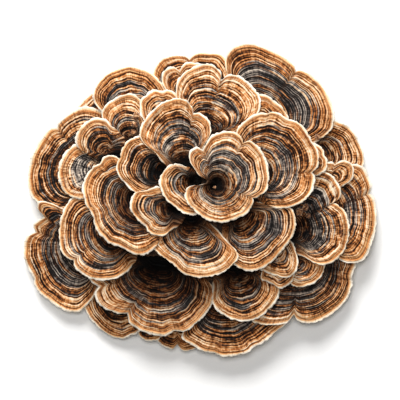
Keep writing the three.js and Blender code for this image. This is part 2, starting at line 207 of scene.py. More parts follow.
# ---------------------------------------------------------------- caps
# Each cap is one thin shelf of tough, leathery flesh. It grew outward from its own centre,
# band after band, and there it is fused to the base. Its outline and heights are the frame's.

MM = 0.001

# How the frame's caps are built: the length of a side round the rim, the share of the way out
# of each ring of corners, the waves round the rim, and the thicknesses.
coarse_length = 5.4
fewest_sides = 16
coarse_reaches = np.array([0, 0.38, 0.72, 1.0])
wave_length = 34
wave_height = 0.7
curve_steps = 200
layer_gap = 0.5
centre_thickness = 2.0
margin_thickness = 1.2
same_place = 0.05

# The low dome that they grow from: its axis, reach and heights, and how rounded it is.
growth_axis = np.array([3.0, 3.0])
growth_radius = 64
growth_edge_height = 6
growth_top_height = 34
growth_shoulder = 1.6


def dome_height(place):
    """The height of the fused base's back, which every cap grew from, at a place in the plan."""
    radius = np.linalg.norm(place - growth_axis)
    fall = min(1, radius / growth_radius) ** growth_shoulder
    return growth_edge_height + (growth_top_height - growth_edge_height) * (1 - fall)


class Cap:
    """A smooth closed outline round a growth centre, with its rise and the look of its skin.

    look is how grey, mottled, fibrous and pale the skin is, and how wide its pale margin. bands
    is how far the dark heart reaches, which is partly the cap's own dark stain and partly painted
    shade where the cap lies under the caps above, how far the margin wraps round, and how many
    millimetres behind the centre the bands began.
    """

    def __init__(self, name, centre, cup, tilt, back, look, bands, rim):
        self.name = name
        self.centre = np.array(centre, float)
        self.cup = cup
        self.tilt = tilt
        self.grey, self.mottle, self.fibre, self.paleness, self.rim_width = look
        self.heart, self.wrap, self.lag = bands
        ahead = np.mean(rim, axis=0) - self.centre
        self.heading = ahead / np.linalg.norm(ahead)
        self.points = np.array(rim, float)
        if back > 0:
            self.points = np.vstack([self.points, self.centre - self.heading * back])
        self.steps = np.linspace(0, 1, curve_steps + 1)
        lengths = np.linalg.norm(np.diff(self.place(self.steps), axis=0), axis=1)
        self.travelled = np.concatenate([[0], np.cumsum(lengths)])
        self.length = self.travelled[-1]
        self.root = dome_height(self.centre) + layer_gap + centre_thickness

    def place(self, step):
        """Places on the curve through the points: a closed centripetal Catmull-Rom spline."""
        count = len(self.points)
        first = np.floor(step * count).astype(int)
        s = (step * count - first)[:, None]
        a, b, c, d = [self.points[(first + k) % count] for k in (-1, 0, 1, 2)]
        ab, bc, cd = [np.sqrt(np.linalg.norm(q - p, axis=1))[:, None]
                      for p, q in ((a, b), (b, c), (c, d))]
        leave = ((b - a) / ab - (c - a) / (ab + bc) + (c - b) / bc) * bc
        arrive = ((c - b) / bc - (d - b) / (bc + cd) + (d - c) / cd) * bc
        return (b + leave * s + (3 * (c - b) - 2 * leave - arrive) * s ** 2
                + (2 * (b - c) + leave + arrive) * s ** 3)

    def edge(self, turn):
        """Places on the same curve, evenly spaced by length, for turns from 0 to 1."""
        return self.place(np.interp(turn % 1.0 * self.length, self.travelled, self.steps))

    def free_height(self, turn, reach, out):
        """How high the upper face would stand if nothing lay under the cap."""
        waves = round(self.length / wave_length)
        wave = wave_height * reach ** 2 * np.sin(2 * np.pi * waves * turn)
        return self.root + self.cup * (1 - (1 - reach) ** 2) + self.tilt * (out @ self.heading) + wave

    def measured_bend(self):
        """How far the frame's cap is bent up at its corners, where it lies over its neighbours."""
        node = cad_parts[self.name]
        corners = np.empty(len(node.data.vertices) * 3)
        node.data.vertices.foreach_get("co", corners)
        corners = corners.reshape(-1, 3) / MM
        segments = max(fewest_sides, round(self.length / coarse_length))
        turns = np.arange(segments) / segments
        out = self.edge(turns) - self.centre
        bend = np.zeros((segments, len(coarse_reaches)))
        for k, reach in enumerate(coarse_reaches):
            free = self.free_height(turns, reach, reach * out)
            for i, place in enumerate(self.centre + reach * out):
                apart = np.hypot(*(corners[:, :2] - place).T)
                near = corners[apart < apart.min() + same_place]
                bend[i, k] = near[:, 2].max() - free[i]
        return bend


# From the lowest to the highest, as they grew over each other. Places are in the plan: the
# centre, and the points that the rim passes.
caps = [
    Cap("skirt_cap_bottom", centre=(-11, -56), cup=1, tilt=-0.16, back=10,
        look=(0.25, 0.1, 0.3, -0.05, 0.6), bands=(0.6, 0.5, 12),
        rim=[(-22, -69.5), (-18.5, -73.5), (-14, -75), (-11.5, -73.5), (-8, -76), (-4, -75.5),
             (0, -72)]),
    Cap("skirt_cap_bottom_left", centre=(-25, -57), cup=1, tilt=-0.16, back=9,
        look=(0.25, 0.1, 0.3, -0.05, 0.6), bands=(0.6, 0.5, 12),
        rim=[(-31, -67), (-28.5, -70), (-25, -71), (-20, -69.5), (-17, -66)]),
    Cap("outer_cap_bottom", centre=(12.5, -48), cup=2.5, tilt=-0.12, back=9,
        look=(0.35, 0.1, 0.5, -0.03, 1), bands=(0.62, 0.3, 14),
        rim=[(-9, -67), (-8.5, -70), (-4, -72.5), (1, -75.5), (6, -76.5), (12, -78.5),
             (20.5, -77.5), (24.5, -76), (26.5, -74), (29, -73), (32.5, -71), (37, -67), (43.5, -60)]),
    Cap("skirt_cap_lower_left", centre=(-41, -47), cup=1, tilt=-0.16, back=8,
        look=(0.3, 0.1, 0.3, -0.04, 0.8), bands=(0.6, 0.3, 12),
        rim=[(-59, -51), (-57.5, -56), (-53.5, -62), (-47.5, -67), (-39.5, -70), (-35.5, -68.5),
             (-31, -66.5), (-26, -60)]),
    Cap("skirt_cap_upper_left", centre=(-50, 42), cup=1, tilt=-0.16, back=9,
        look=(0.3, 0.1, 0.3, 0, 1), bands=(0.5, 0.3, 8),
        rim=[(-62.5, 43), (-61.5, 47), (-58.5, 51), (-54, 54.5), (-48, 55)]),
    Cap("outer_cap_top", centre=(-3, 48), cup=2.5, tilt=-0.12, back=8,
        look=(0.35, 0.1, 0.4, -0.02, 1), bands=(0.5, 0.3, 10),
        rim=[(-23.5, 61), (-23, 65), (-20.5, 69.5), (-14.5, 72.5), (-8, 72.5), (-5.5, 71.5),
             (-2, 73.5), (4.5, 74), (11, 72.5), (15, 67), (15.5, 60)]),
    Cap("skirt_cap_upper_right", centre=(60, 22), cup=1, tilt=-0.16, back=12,
        look=(0.25, 0.1, 0.5, 0.02, 1), bands=(0.45, 0.3, 8),
        rim=[(64, 41), (67.5, 40), (72, 38.5), (76.5, 35.5), (80, 29.5), (82.5, 23), (82, 17),
             (78, 11)]),
    Cap("outer_cap_left", centre=(-55, 14), cup=2.5, tilt=-0.12, back=11,
        look=(0.45, 0.2, 0.65, -0.035, 1.35), bands=(0.35, 0.3, 6),
        rim=[(-47, 42), (-49, 44.5), (-54.5, 46.5), (-59.5, 47), (-67, 43), (-71.5, 39),
             (-72.5, 37), (-75.5, 36), (-79.5, 31.5), (-84, 24), (-86, 16.5), (-86.5, 9),
             (-85, 2.5), (-81, -2), (-74, -6)]),
    Cap("outer_cap_upper_right", centre=(31, 42), cup=2.5, tilt=-0.12, back=8,
        look=(0.75, 0.1, 0.4, -0.01, 1.2), bands=(0.4, 0.3, 8),
        rim=[(12.5, 70), (16, 76), (22, 78.5), (29.5, 77.5), (39.5, 73), (46.5, 68), (48.5, 65),
             (50.5, 65), (55, 63), (62.5, 56), (66.5, 47), (67.2, 41), (66, 36), (63.5, 33),
             (60.5, 30.5), (55, 28)]),
    Cap("outer_cap_lower_right", centre=(49, -32), cup=2.5, tilt=-0.12, back=8,
        look=(0.6, 0.1, 0.6, 0, 1.1), bands=(0.6, 0.3, 12),
        rim=[(76, -26), (78.5, -31), (76.5, -38), (76.5, -43), (74, -49.5), (68.5, -55.5),
             (61.5, -60), (54.5, -62), (49, -60.5), (46.5, -58.5), (43.5, -61.5), (33, -62.5),
             (25, -60), (21, -54)]),
    Cap("outer_cap_right", centre=(60, -7), cup=2.5, tilt=-0.12, back=13,
        look=(0.4, 0.1, 0.65, 0.02, 1.3), bands=(0.45, 0.3, 10),
        rim=[(74, 17.5), (81.5, 17), (84, 13.5), (86.5, 7.5), (86, 4), (88, -0.5), (88.7, -7),
             (88.5, -13.5), (86, -22.5), (83, -29), (78.5, -31.5), (72, -31)]),
    Cap("outer_cap_lower_left", centre=(-58, -23), cup=2.5, tilt=-0.12, back=10,
        look=(0.65, 0.2, 0.5, 0, 1.2), bands=(0.5, 0.3, 12),
        rim=[(-76, -1), (-81, -1), (-81.5, -4), (-79, -8), (-84, -12.5), (-83.7, -15.5),
             (-87.5, -18.5), (-88.8, -27), (-87, -34), (-84, -39), (-83, -44), (-75, -51.5),
             (-67, -56), (-61, -56.3), (-57, -53), (-52, -46)]),
    Cap("outer_cap_upper_left", centre=(-33, 41), cup=2.5, tilt=-0.12, back=8,
        look=(0.6, 0.1, 0.4, -0.01, 1), bands=(0.45, 0.3, 10),
        rim=[(-53, 49), (-53.5, 55), (-51, 59), (-47.5, 62.5), (-42, 65.5), (-36.5, 67),
             (-31, 66.5), (-26, 64.5), (-21.5, 61), (-17, 55), (-14, 47)]),
    Cap("small_cap_top", centre=(-6, 50), cup=1.5, tilt=-0.08, back=6,
        look=(0.3, 0.1, 0.4, 0.02, 1), bands=(0.45, 0.3, 8),
        rim=[(-19, 59), (-17.5, 65), (-13.5, 66.5), (-10.5, 65.5), (-7, 68.5), (-2, 68.5), (3, 66),
             (6, 60)]),
    Cap("small_cap_upper_right", centre=(30, 38), cup=1.5, tilt=-0.08, back=6,
        look=(0.3, 0.1, 0.3, 0, 1), bands=(0.45, 0.3, 8),
        rim=[(24, 52), (30, 53), (34.5, 51.5), (38.5, 48.5), (42, 45), (44.5, 40), (44, 34)]),
    Cap("middle_cap_lower_left", centre=(-22, -36), cup=3.5, tilt=-0.1, back=8,
        look=(0.55, 0.2, 0.4, 0, 1), bands=(0.68, 0.3, 15),
        rim=[(-53, -34), (-55.5, -39), (-51.5, -43.5), (-52.5, -46.5), (-50, -52.5),
             (-41.5, -56.5), (-36.5, -57.5), (-35, -61.5), (-29, -65.5), (-18.5, -68),
             (-12.5, -65.5), (-7, -65.5), (-3.5, -63), (2.5, -57.5), (6, -52), (7, -44)]),
    Cap("middle_cap_bottom", centre=(19, -38), cup=3.5, tilt=-0.1, back=7,
        look=(0.45, 0.1, 0.4, 0, 1), bands=(0.6, 0.3, 11),
        rim=[(7.5, -33), (6.5, -38.5), (6, -45.5), (6.5, -52.5), (11, -57), (17.5, -60),
             (22.5, -60.5), (28, -59.5), (36, -53), (39.5, -47), (39, -42), (36, -37)]),
    Cap("small_cap_lower_right", centre=(48, -31), cup=1.5, tilt=-0.08, back=6,
        look=(0.45, 0.1, 0.4, 0, 0.8), bands=(0.5, 0.3, 8),
        rim=[(60, -28), (62.5, -33), (61.5, -36.5), (58, -41), (53.5, -43), (49, -43.5), (45, -42),
             (40, -38)]),
    Cap("small_cap_right", centre=(65, 10), cup=1.5, tilt=-0.08, back=7,
        look=(0.3, 0.1, 0.4, 0, 1), bands=(0.45, 0.3, 8),
        rim=[(61, 18.5), (64.5, 19.2), (68.3, 19), (72, 20), (75, 19), (77, 16), (76, 10)]),
    Cap("middle_cap_right", centre=(46, -14), cup=3.5, tilt=-0.1, back=8,
        look=(0.7, 0.6, 0.7, 0, 1), bands=(0.4, 0.45, 5),
        rim=[(56, 14), (60.5, 14.7), (65, 13), (68.5, 9), (70.5, 4.5), (69, 0.3), (65, -0.6),
             (69, -2.5), (72.5, -6), (74.5, -12.5), (74, -19.5), (71.5, -26), (67, -30.5),
             (61.5, -32.5), (57.5, -31.7), (53.5, -29.5), (48, -27), (43, -24)]),
    Cap("ruffled_cap_lower_right", centre=(38, -32), cup=1, tilt=-0.06, back=5,
        look=(0.2, 0.5, 0.3, -0.05, 0.7), bands=(0.4, -0.1, 8),
        rim=[(30, -39), (33, -40.5), (36, -42), (39.5, -44), (43, -43), (45.5, -41), (47, -37)]),
    Cap("inner_cap_lower_right", centre=(37, -23), cup=2, tilt=-0.08, back=6,
        look=(0.6, 0.1, 0.4, 0, 0.85), bands=(0.5, 0.3, 8),
        rim=[(45, -20), (47.5, -25), (48.7, -29), (48.5, -33.5), (46, -37.5), (41.5, -38.7),
             (37.5, -37.7), (33, -36), (28, -33)]),
    Cap("middle_cap_left_low", centre=(-45, -17), cup=3.5, tilt=-0.1, back=8,
        look=(0.6, 0.1, 0.4, -0.01, 1), bands=(0.5, 0.5, 10),
        rim=[(-60, 2), (-64, 1), (-68, -4.5), (-70, -10.5), (-70.5, -17), (-69.8, -24),
             (-67.5, -28), (-63.8, -30.5), (-62, -34), (-56, -38.5), (-50, -40), (-41.5, -39),
             (-34.5, -34), (-31, -27)]),
    Cap("middle_cap_upper_left", centre=(-34.5, 30), cup=3.5, tilt=-0.1, back=7,
        look=(0.5, 0.2, 0.4, 0, 1), bands=(0.45, 0.3, 8),
        rim=[(-48, 39), (-49, 44), (-46.5, 48), (-43, 50.5), (-38.5, 52.5), (-35, 53), (-31.5, 52),
             (-28, 48), (-25, 42)]),
    Cap("middle_cap_left_high", centre=(-51, 14.5), cup=2, tilt=-0.1, back=6,
        look=(0.8, 0.9, 0.9, 0.045, 1.3), bands=(0.3, 0.1, 8),
        rim=[(-59, 28.5), (-63.5, 27.5), (-67, 24.5), (-69.5, 20.5), (-71, 15), (-70.3, 8.5),
             (-68.5, 5), (-66, 2.5), (-62, 0.8), (-57, 0.5)]),
    Cap("middle_cap_left_top", centre=(-46, 23), cup=2, tilt=-0.08, back=6,
        look=(0.6, 0.2, 0.4, 0, 1.2), bands=(0.45, -0.5, 8),
        rim=[(-58, 24), (-62, 27.5), (-62.3, 30.5), (-61, 34), (-59, 37), (-56, 39.5), (-52.5, 41),
             (-49, 41), (-46.5, 40), (-44.5, 37.7), (-41, 34.5), (-37, 29)]),
    Cap("small_cap_upper_left", centre=(-18, 41), cup=1.5, tilt=-0.08, back=7,
        look=(0.15, 0.2, 0.3, 0.02, 1.2), bands=(0.4, 0.3, 8),
        rim=[(-28.5, 40), (-30, 45.5), (-29.5, 49.5), (-26, 53.5), (-22.5, 55), (-18.8, 54.2),
             (-16, 55), (-13, 53.5), (-10, 50), (-8, 45)]),
    Cap("inner_cap_top", centre=(3, 35), cup=4.5, tilt=-0.06, back=7,
        look=(0.35, 0.7, 0.4, 0.015, 1), bands=(0.35, 0.3, 6),
        rim=[(-11, 48), (-12, 55), (-11, 59.5), (-8.5, 62.5), (-5, 65), (-2, 66.5), (1.5, 67.6),
             (5, 67.5), (8, 66), (10.5, 63.2), (10.8, 60), (13.5, 61.8), (17.5, 62.2),
             (22.5, 59.7), (26.8, 55.5), (29.2, 52.5), (30.2, 47.5), (28.5, 42), (25, 37)]),
    Cap("inner_cap_lower_middle", centre=(20, -8), cup=4.5, tilt=-0.06, back=7,
        look=(0.55, 0.2, 0.4, 0.03, 1), bands=(0.42, 0.3, 7),
        rim=[(42, -3), (46, -5), (47.3, -11), (46.2, -17), (43, -22), (39.5, -26.5), (35, -31),
             (30, -34.2), (25.5, -35.2), (20.5, -34.3), (15, -30), (11, -24)]),
    Cap("inner_cap_bottom", centre=(-3, -13), cup=4.5, tilt=-0.06, back=7,
        look=(0.6, 0.1, 0.4, 0.035, 1), bands=(0.42, 0.45, 8),
        rim=[(-24, -19), (-23, -24), (-18.5, -28), (-13.5, -31.5), (-9.5, -35.5), (-3.5, -38),
             (3.5, -38), (11, -36), (17, -31.2), (19, -28), (17.8, -24.8), (14, -21), (9, -15)]),
    Cap("inner_cap_left", centre=(-33, -1), cup=5, tilt=-0.06, back=8,
        look=(0.55, 0.1, 0.4, 0, 1), bands=(0.5, 0.5, 6),
        rim=[(-38, 18.5), (-41.5, 21.5), (-45, 22.3), (-48, 21), (-50, 18), (-53, 16.5), (-56, 13),
             (-58.7, 6.5), (-57.7, 2), (-56.5, -2.5), (-53.8, -6.5), (-52.5, -11.5),
             (-50.8, -15.5), (-47.5, -19.2), (-44.5, -21.7), (-40, -23), (-34, -26), (-29, -27.3),
             (-24, -25.5), (-20, -19)]),
    Cap("inner_cap_narrow_right", centre=(53, 19), cup=1, tilt=-0.05, back=6,
        look=(0.3, 0.3, 0.3, 0, 1), bands=(0.4, 0.3, 8),
        rim=[(56, 28.5), (58.5, 27.7), (61.8, 25.3), (62, 22.5), (63.3, 20), (63.5, 17), (62, 14),
             (58, 12)]),
    Cap("inner_cap_right", centre=(28.5, 14), cup=6, tilt=-0.02, back=8,
        look=(0.5, 0.3, 0.5, 0, 1), bands=(0.3, 0.4, 2),
        rim=[(18, 34), (20.5, 37.7), (25.5, 41.6), (30, 43.2), (32.5, 42.7), (35.5, 43.7),
             (40.5, 42.2), (43, 40.3), (48.5, 38.5), (52, 35), (55.5, 29), (57.5, 26),
             (58.7, 21.5), (58.5, 17), (56.5, 13.5), (57, 10.5), (56, 5.5), (53.5, 1.5),
             (49.5, -1.5), (44.5, -3.6), (38, -4.2), (33, -2.7), (29, 0)]),
    Cap("inner_cap_upper_left", centre=(-18, 13), cup=6, tilt=-0.04, back=7,
        look=(0.35, 0.1, 0.4, -0.03, 0.85), bands=(0.5, 0.3, 5),
        rim=[(-26, 31), (-29.5, 31.7), (-35, 29.7), (-38, 26.2), (-39.7, 21), (-41.2, 17.5),
             (-40.5, 12.5), (-37, 8), (-32, 3.5), (-27, 2.5), (-22, 4)]),
    Cap("crown_cap_upper_left", centre=(-8, 19), cup=6, tilt=0, back=7,
        look=(0.65, 0.7, 0.4, 0.01, 1), bands=(0.35, 0.35, 5),
        rim=[(-12, 14.5), (-17, 17), (-22, 23), (-26, 26.3), (-29, 29.5), (-30, 33), (-29, 36.5),
             (-26.5, 40.7), (-21.5, 46), (-16, 49.2), (-10.5, 50.2), (-6.5, 49), (-4, 46.3),
             (-3, 43.3), (-0.5, 43.2), (3, 41), (5.2, 37.5), (5.2, 32.5), (3, 28.5), (1, 24)]),
    Cap("crown_cap_lower_left", centre=(-14.5, -4.5), cup=6.5, tilt=0, back=6,
        look=(0.65, 0.1, 0.3, 0.01, 1), bands=(0.5, 0.45, 4),
        rim=[(-17, 6), (-20, 6.7), (-23.5, 6.2), (-27, 4.6), (-31.5, 4), (-34, 0.3), (-34.6, -3.5),
             (-32.7, -7.5), (-29.5, -11), (-27.2, -13), (-26, -15.2), (-23, -17.2), (-18.5, -17.8),
             (-15.7, -16.4), (-13.7, -14.6), (-10.7, -13.2), (-8, -10.5), (-7, -6)]),
    Cap("crown_cap_left", centre=(-4, 8.5), cup=5, tilt=0, back=5,
        look=(0.75, 0.1, 0.3, 0, 1), bands=(0.4, 0.3, 2),
        rim=[(-1, 14), (-6, 16.2), (-10, 17.6), (-14, 17.6), (-18, 14.2), (-20.2, 9), (-19.3, 4.8),
             (-17, 0.5), (-13.5, -2.7), (-10, -5.3), (-6.5, -7.2), (-1.5, -7)]),
    Cap("crown_cap_centre", centre=(8.3, 7.7), cup=9.5, tilt=0, back=0,
        look=(0.6, 0.2, 0.4, 0.05, 1), bands=(0.28, 2, 0),
        rim=[(3.3, 9.6), (-0.6, 12.2), (-3.2, 16), (-5.2, 19.5), (-5.2, 23.5), (-2.2, 26.2),
             (0.8, 25.4), (3, 28), (5.5, 31.5), (10.5, 33.5), (15.5, 33.6), (19.5, 31.7), (22, 29),
             (24.7, 29), (28.7, 26.2), (32.2, 20.7), (33.7, 14.5), (33.7, 9), (32.5, 4.5),
             (28.8, 1.6), (26.7, 0.4), (26, -2.2), (22.5, -7), (16.5, -9.8), (10.5, -11.2),
             (4.5, -10.2), (-0.6, -7.2), (-5.1, -3), (-7.6, 2), (-6.4, 5.9), (-3.6, 7.1),
             (-0.6, 7.3)]),
]


def spread_round(values, turn):
    """Values given at even turns, carried smoothly to any turn."""
    count = len(values)
    first = np.floor(turn % 1.0 * count).astype(int)
    s = (turn % 1.0 * count - first)[:, None]
    a, b, c, d = [values[(first + k) % count] for k in (-1, 0, 1, 2)]
    return (b + 0.5 * s * (c - a) + s ** 2 * (a - 2.5 * b + 2 * c - 0.5 * d)
            + s ** 3 * (0.5 * (d - a) + 1.5 * (b - c)))


def spread_out(reach):
    """The share that each coarse ring has at a reach, in one smooth curve through all rings."""
    shares = []
    for here in coarse_reaches:
        others = coarse_reaches[coarse_reaches != here]
        shares.append(np.prod([(reach - other) / (here - other) for other in others], axis=0))
    return np.stack(shares, axis=-1)


def rise(value, low, high):
    """0 below low, 1 above high, smooth between."""
    s = np.clip((value - low) / (high - low), 0, 1)
    return s * s * (3 - 2 * s)


def ripple(rng, turn, length, longest, shortest, how_many, height):
    """A wavy line round a closed edge, of waves with lengths between the two given."""
    line = np.zeros_like(turn)
    for count in np.unique(np.round(rng.uniform(length / longest, length / shortest, how_many))):
        line += rng.uniform(0.4, 1) * np.sin(2 * np.pi * (max(1, count) * turn + rng.uniform()))
    return height * line / math.sqrt(how_many)


def evened(values, reach):
    """Each value round a closed edge, averaged with those within the reach on both sides."""
    count = int(reach / fine_round)
    wrapped = np.concatenate([values[-count - 1:-1], values, values[1:count + 1]])
    return np.convolve(wrapped, np.ones(2 * count + 1) / (2 * count + 1), "valid")


def apart_round(turn, place, length):
    """How far each turn round a closed edge is from one place on it, the shorter way."""
    return np.abs((turn - place + 0.5) % 1 - 0.5) * length


def wrapped_grid(name, places, held):
    """A piece from columns of places, closed round and joined at the poles.

    held gives three numbers at each place to each attribute that the piece's material reads.
    """
    columns, rows = places.shape[:2]
    bpy.ops.object.select_all(action="DESELECT")
    bpy.ops.mesh.primitive_grid_add(x_subdivisions=columns - 1, y_subdivisions=rows - 1, size=2)
    piece = bpy.context.object
    piece.name = name
    mesh = piece.data
    mesh.uv_layers.remove(mesh.uv_layers[0])
    at = np.empty(len(mesh.vertices) * 3)
    mesh.vertices.foreach_get("co", at)
    at = at.reshape(-1, 3)
    column = np.round((at[:, 0] + 1) / 2 * (columns - 1)).astype(int)
    row = np.round((at[:, 1] + 1) / 2 * (rows - 1)).astype(int)
    mesh.vertices.foreach_set("co", places[column, row].ravel() * MM)
    for label, values in held.items():
        layer = mesh.attributes.new(label, "FLOAT_VECTOR", "POINT")
        whole = np.dstack([np.broadcast_to(value, (columns, rows)) for value in values])
        layer.data.foreach_set("vector", whole[column, row].astype(float).ravel())
    bpy.ops.object.mode_set(mode="EDIT")
    bpy.ops.mesh.select_all(action="SELECT")
    bpy.ops.mesh.remove_doubles(threshold=1e-6)
    bpy.ops.mesh.normals_make_consistent(inside=False)
    bpy.ops.object.mode_set(mode="OBJECT")
    bpy.ops.object.shade_smooth()
    return piece


# The fine grid: millimetres from column to column and from row to row, the directions that
# the rounded margin turns through, and the rows of the underside.
fine_round = 0.5
fine_out = 0.42
margin_turn = np.linspace(math.pi / 2, -math.pi / 2, 7)
under_rows = 14
fewest_rows = 12

# The relief: pairs of a wave's length and its height, and the depth and width of the folds.
scallops = ((7.0, 0.42), (3.4, 0.3), (1.9, 0.16))
terrace_waves = ((4.6, 0.18), (2.9, 0.18), (1.9, 0.17), (1.3, 0.12))
notch_depth = 0.9
notch_width = 0.7
fold_width = 1.5
extra_folds = 4
fold_depth = 1.1
lip_width = 2.6


def folded(rng, turn, span, length):
    """How creased the cap is at each turn, and its reach there with the notches taken off.

    Creases run inwards from the margin's notches, and a few more from random places.
    """
    dent = np.clip((evened(span, 7) - span) / 2.0, 0, 1)
    deepest = (dent > 0.5) & (dent > np.roll(dent, 1)) & (dent >= np.roll(dent, -1))
    crease = dent
    for place in turn[deepest]:
        apart = apart_round(turn, place, length)
        crease = np.maximum(crease, np.exp(-apart / fold_width))
        span = span - notch_depth * np.exp(-apart / notch_width)
    for place in rng.uniform(0, 1, extra_folds):
        apart = apart_round(turn, place, length)
        crease = np.maximum(crease, rng.uniform(0.2, 0.6) * np.exp(-(apart / 1.3) ** 2))
    return crease, span


def scalloped(rng, turn, length):
    """How far the small lobes of the margin stand out at each turn, or in between two lobes."""
    scallop = np.zeros_like(turn)
    for width, height in scallops:
        uneven = ripple(rng, turn, length, longest=30, shortest=2.2 * width, how_many=6, height=0.35)
        bulge = np.abs(np.sin(np.pi * (round(length / width) * turn + uneven)))
        strength = 1 + ripple(rng, turn, length, longest=40, shortest=8, how_many=5, height=0.5)
        scallop += height * (bulge - 0.64) * strength
    return scallop


def band_growth(cap, out, radius, inward, even, aside):
    """How many millimetres the cap has grown since each place did, and its age, at most 1.

    The bands follow the margin closely at first, and deeper in they settle to its even shape.
    """
    depth = even.max()
    outer = rise(radius / even, 0.15, 0.75) * (1 - aside)
    from_start = np.linalg.norm(out + cap.lag * cap.heading, axis=2)
    age = 1 - from_start / (depth + cap.lag)
    settled = (1 - outer) * (depth + cap.lag) * age + outer * depth * (1 - radius / even)
    settling = np.maximum(rise(inward, 2, 12), aside)
    return inward + settling * (settled - inward), age


def cap_piece(cap, seed):
    rng = np.random.default_rng(seed)
    turn = np.linspace(0, 1, int(cap.length / fine_round) + 1)
    spoke = cap.edge(turn) - cap.centre
    span = np.linalg.norm(spoke, axis=1)
    way = spoke / span[:, None]
    crease, span = folded(rng, turn, span, cap.length)
    even = np.clip(evened(span, 12), 0.3 * span.max(), None)

    # Towards the back the pale margin ends, and behind the centre the dark heart runs out to the edge
    # as painted shade, where the back lies under the caps above.
    behind = way @ -cap.heading
    aside = evened(rise(behind, cap.wrap - 0.45, cap.wrap + 0.25), 3)
    plain = np.maximum(aside, 1 - rise(span, 3, 9))
    shaded_back = evened(rise(behind, cap.wrap + 0.3, cap.wrap + 0.8), 3)

    scallop = scalloped(rng, turn, cap.length)
    ruffle = ripple(rng, turn, cap.length, longest=22, shortest=7, how_many=6, height=0.6)
    wander = ripple(rng, turn, cap.length, longest=40, shortest=9, how_many=8, height=0.5)
    jitter = ripple(rng, turn, cap.length, longest=6, shortest=2.2, how_many=9, height=0.1)

    # From here on, what varies round the edge is a column, and rows run from the centre over
    # the upper face, round the margin, and back underneath.
    span, even, crease, aside, plain, shaded_back, scallop, ruffle, drift = [
        values[:, None] for values in
        (span, even, crease, aside, plain, shaded_back, scallop, ruffle, wander + jitter)]
    half = margin_thickness / 2
    over = np.linspace(0, 1, max(fewest_rows, int(span.max() / fine_out)))[:-1]
    under = np.linspace(1, 0, under_rows)[1:]
    row_reach = np.concatenate([over, np.ones(len(margin_turn)), under])
    row_turn = np.concatenate([np.full(len(over), margin_turn[0]), margin_turn,
                               np.full(len(under), margin_turn[-1])])
    radius = (span - half) * row_reach + half * np.cos(row_turn) * (row_reach == 1)
    inward = span - radius
    reach = radius / span
    lip = np.exp(-inward / lip_width) * rise(reach, 0, 0.4)
    out = way[:, None, :] * (radius + scallop * lip)[:, :, None]

    growth, age = band_growth(cap, out, radius, inward, even, aside)
    loose = (1 - np.exp(-inward / 3)) * reach
    growth = growth + (drift + 0.5 * crease) * loose

    terraces = np.zeros_like(growth)
    for wavelength, height in terrace_waves:
        terraces += height * np.sin(2 * np.pi * (growth / wavelength + rng.uniform()))
    terraces *= (1 - np.exp(-inward / 1.2)) * rise(reach, 0, 0.3)

    upper = cap.free_height(turn[:, None], reach, out)
    bend = spread_round(cap.measured_bend(), turn)
    upper = upper + (bend[:, None, :] * spread_out(reach)).sum(axis=-1)
    upper += ruffle * reach ** 4 + terraces
    upper -= fold_depth * crease * reach ** 2 * (1 - 0.4 * lip)
    thickness = centre_thickness + (margin_thickness - centre_thickness) * reach
    below = (1 - np.sin(row_turn)) / 2
    height = upper - below * thickness - 1.6 * below ** 2 * terraces

    # The dark heart: partly the cap's own stain, partly painted shade deep under the caps above. At
    # the back it stays dark as painted shade.
    root = 1 - rise(1 - age, 0.1 * cap.heart, cap.heart * 1.5) * (1 - 0.8 * shaded_back)
    grey_place = np.exp(-((reach - 0.55) / 0.28) ** 2)
    piece = wrapped_grid(
        cap.name + "_skin",
        np.dstack([cap.centre[0] + out[:, :, 0], cap.centre[1] + out[:, :, 1], height]),
        {"zone": (growth, growth / cap.rim_width, row_turn < 0),
         "way": (way[:, :1], way[:, 1:], rng.uniform(0, 100)),
         "relief": (0.1 * terraces + cap.paleness, scallop * lip, crease),
         "age": (root, plain, reach),
         "look": (cap.grey * grey_place, cap.mottle, cap.fibre)})
    piece.data.materials.append(cap_skin)
    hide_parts(cap.name)
    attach(piece, "root")


# The skin is a felt of fine fibres laid outwards. Bands of rust, tan, slate and near black
# follow the growth, a pale margin ends them, and the underside is cream and finely pored.

skin = Finish("banded_cap_skin")
growth, margin, under_face = skin.parts("zone")
way_x, way_y, seed = skin.parts("way")
tone, scallop, crease = skin.parts("relief")
root, plain, reach = skin.parts("age")
grey, mottle, fibre = skin.parts("look")
place = skin.add("ShaderNodeTexCoord", out="Object")


def band_noise(along, around, shift, detail, roughness=0.5):
    """Noise in bands: quick along the growth, slow round the cap."""
    spot = skin.vector(growth * along + seed * 1.7 + shift, way_x * around + seed, way_y * around)
    return skin.noise(spot, 1.0, detail, roughness) - 0.5


# Fibres run outwards, dashes and sectors break the bands up, and blotches mottle them.
fibres = skin.noise(skin.vector(way_x * 36, way_y * 36, growth * 0.14 + seed), 1.0, 3, 0.7) - 0.5
dashes = skin.noise(skin.vector(way_x * 15, way_y * 15, growth * 0.7 + seed), 1.0, 2) - 0.5
sectors = skin.noise(skin.vector(way_x * 6.5, way_y * 6.5, growth * 0.07 + seed), 1.0, 2, 0.6) - 0.5
blotches = skin.noise(place, 330.0, 3, 0.65) - 0.5

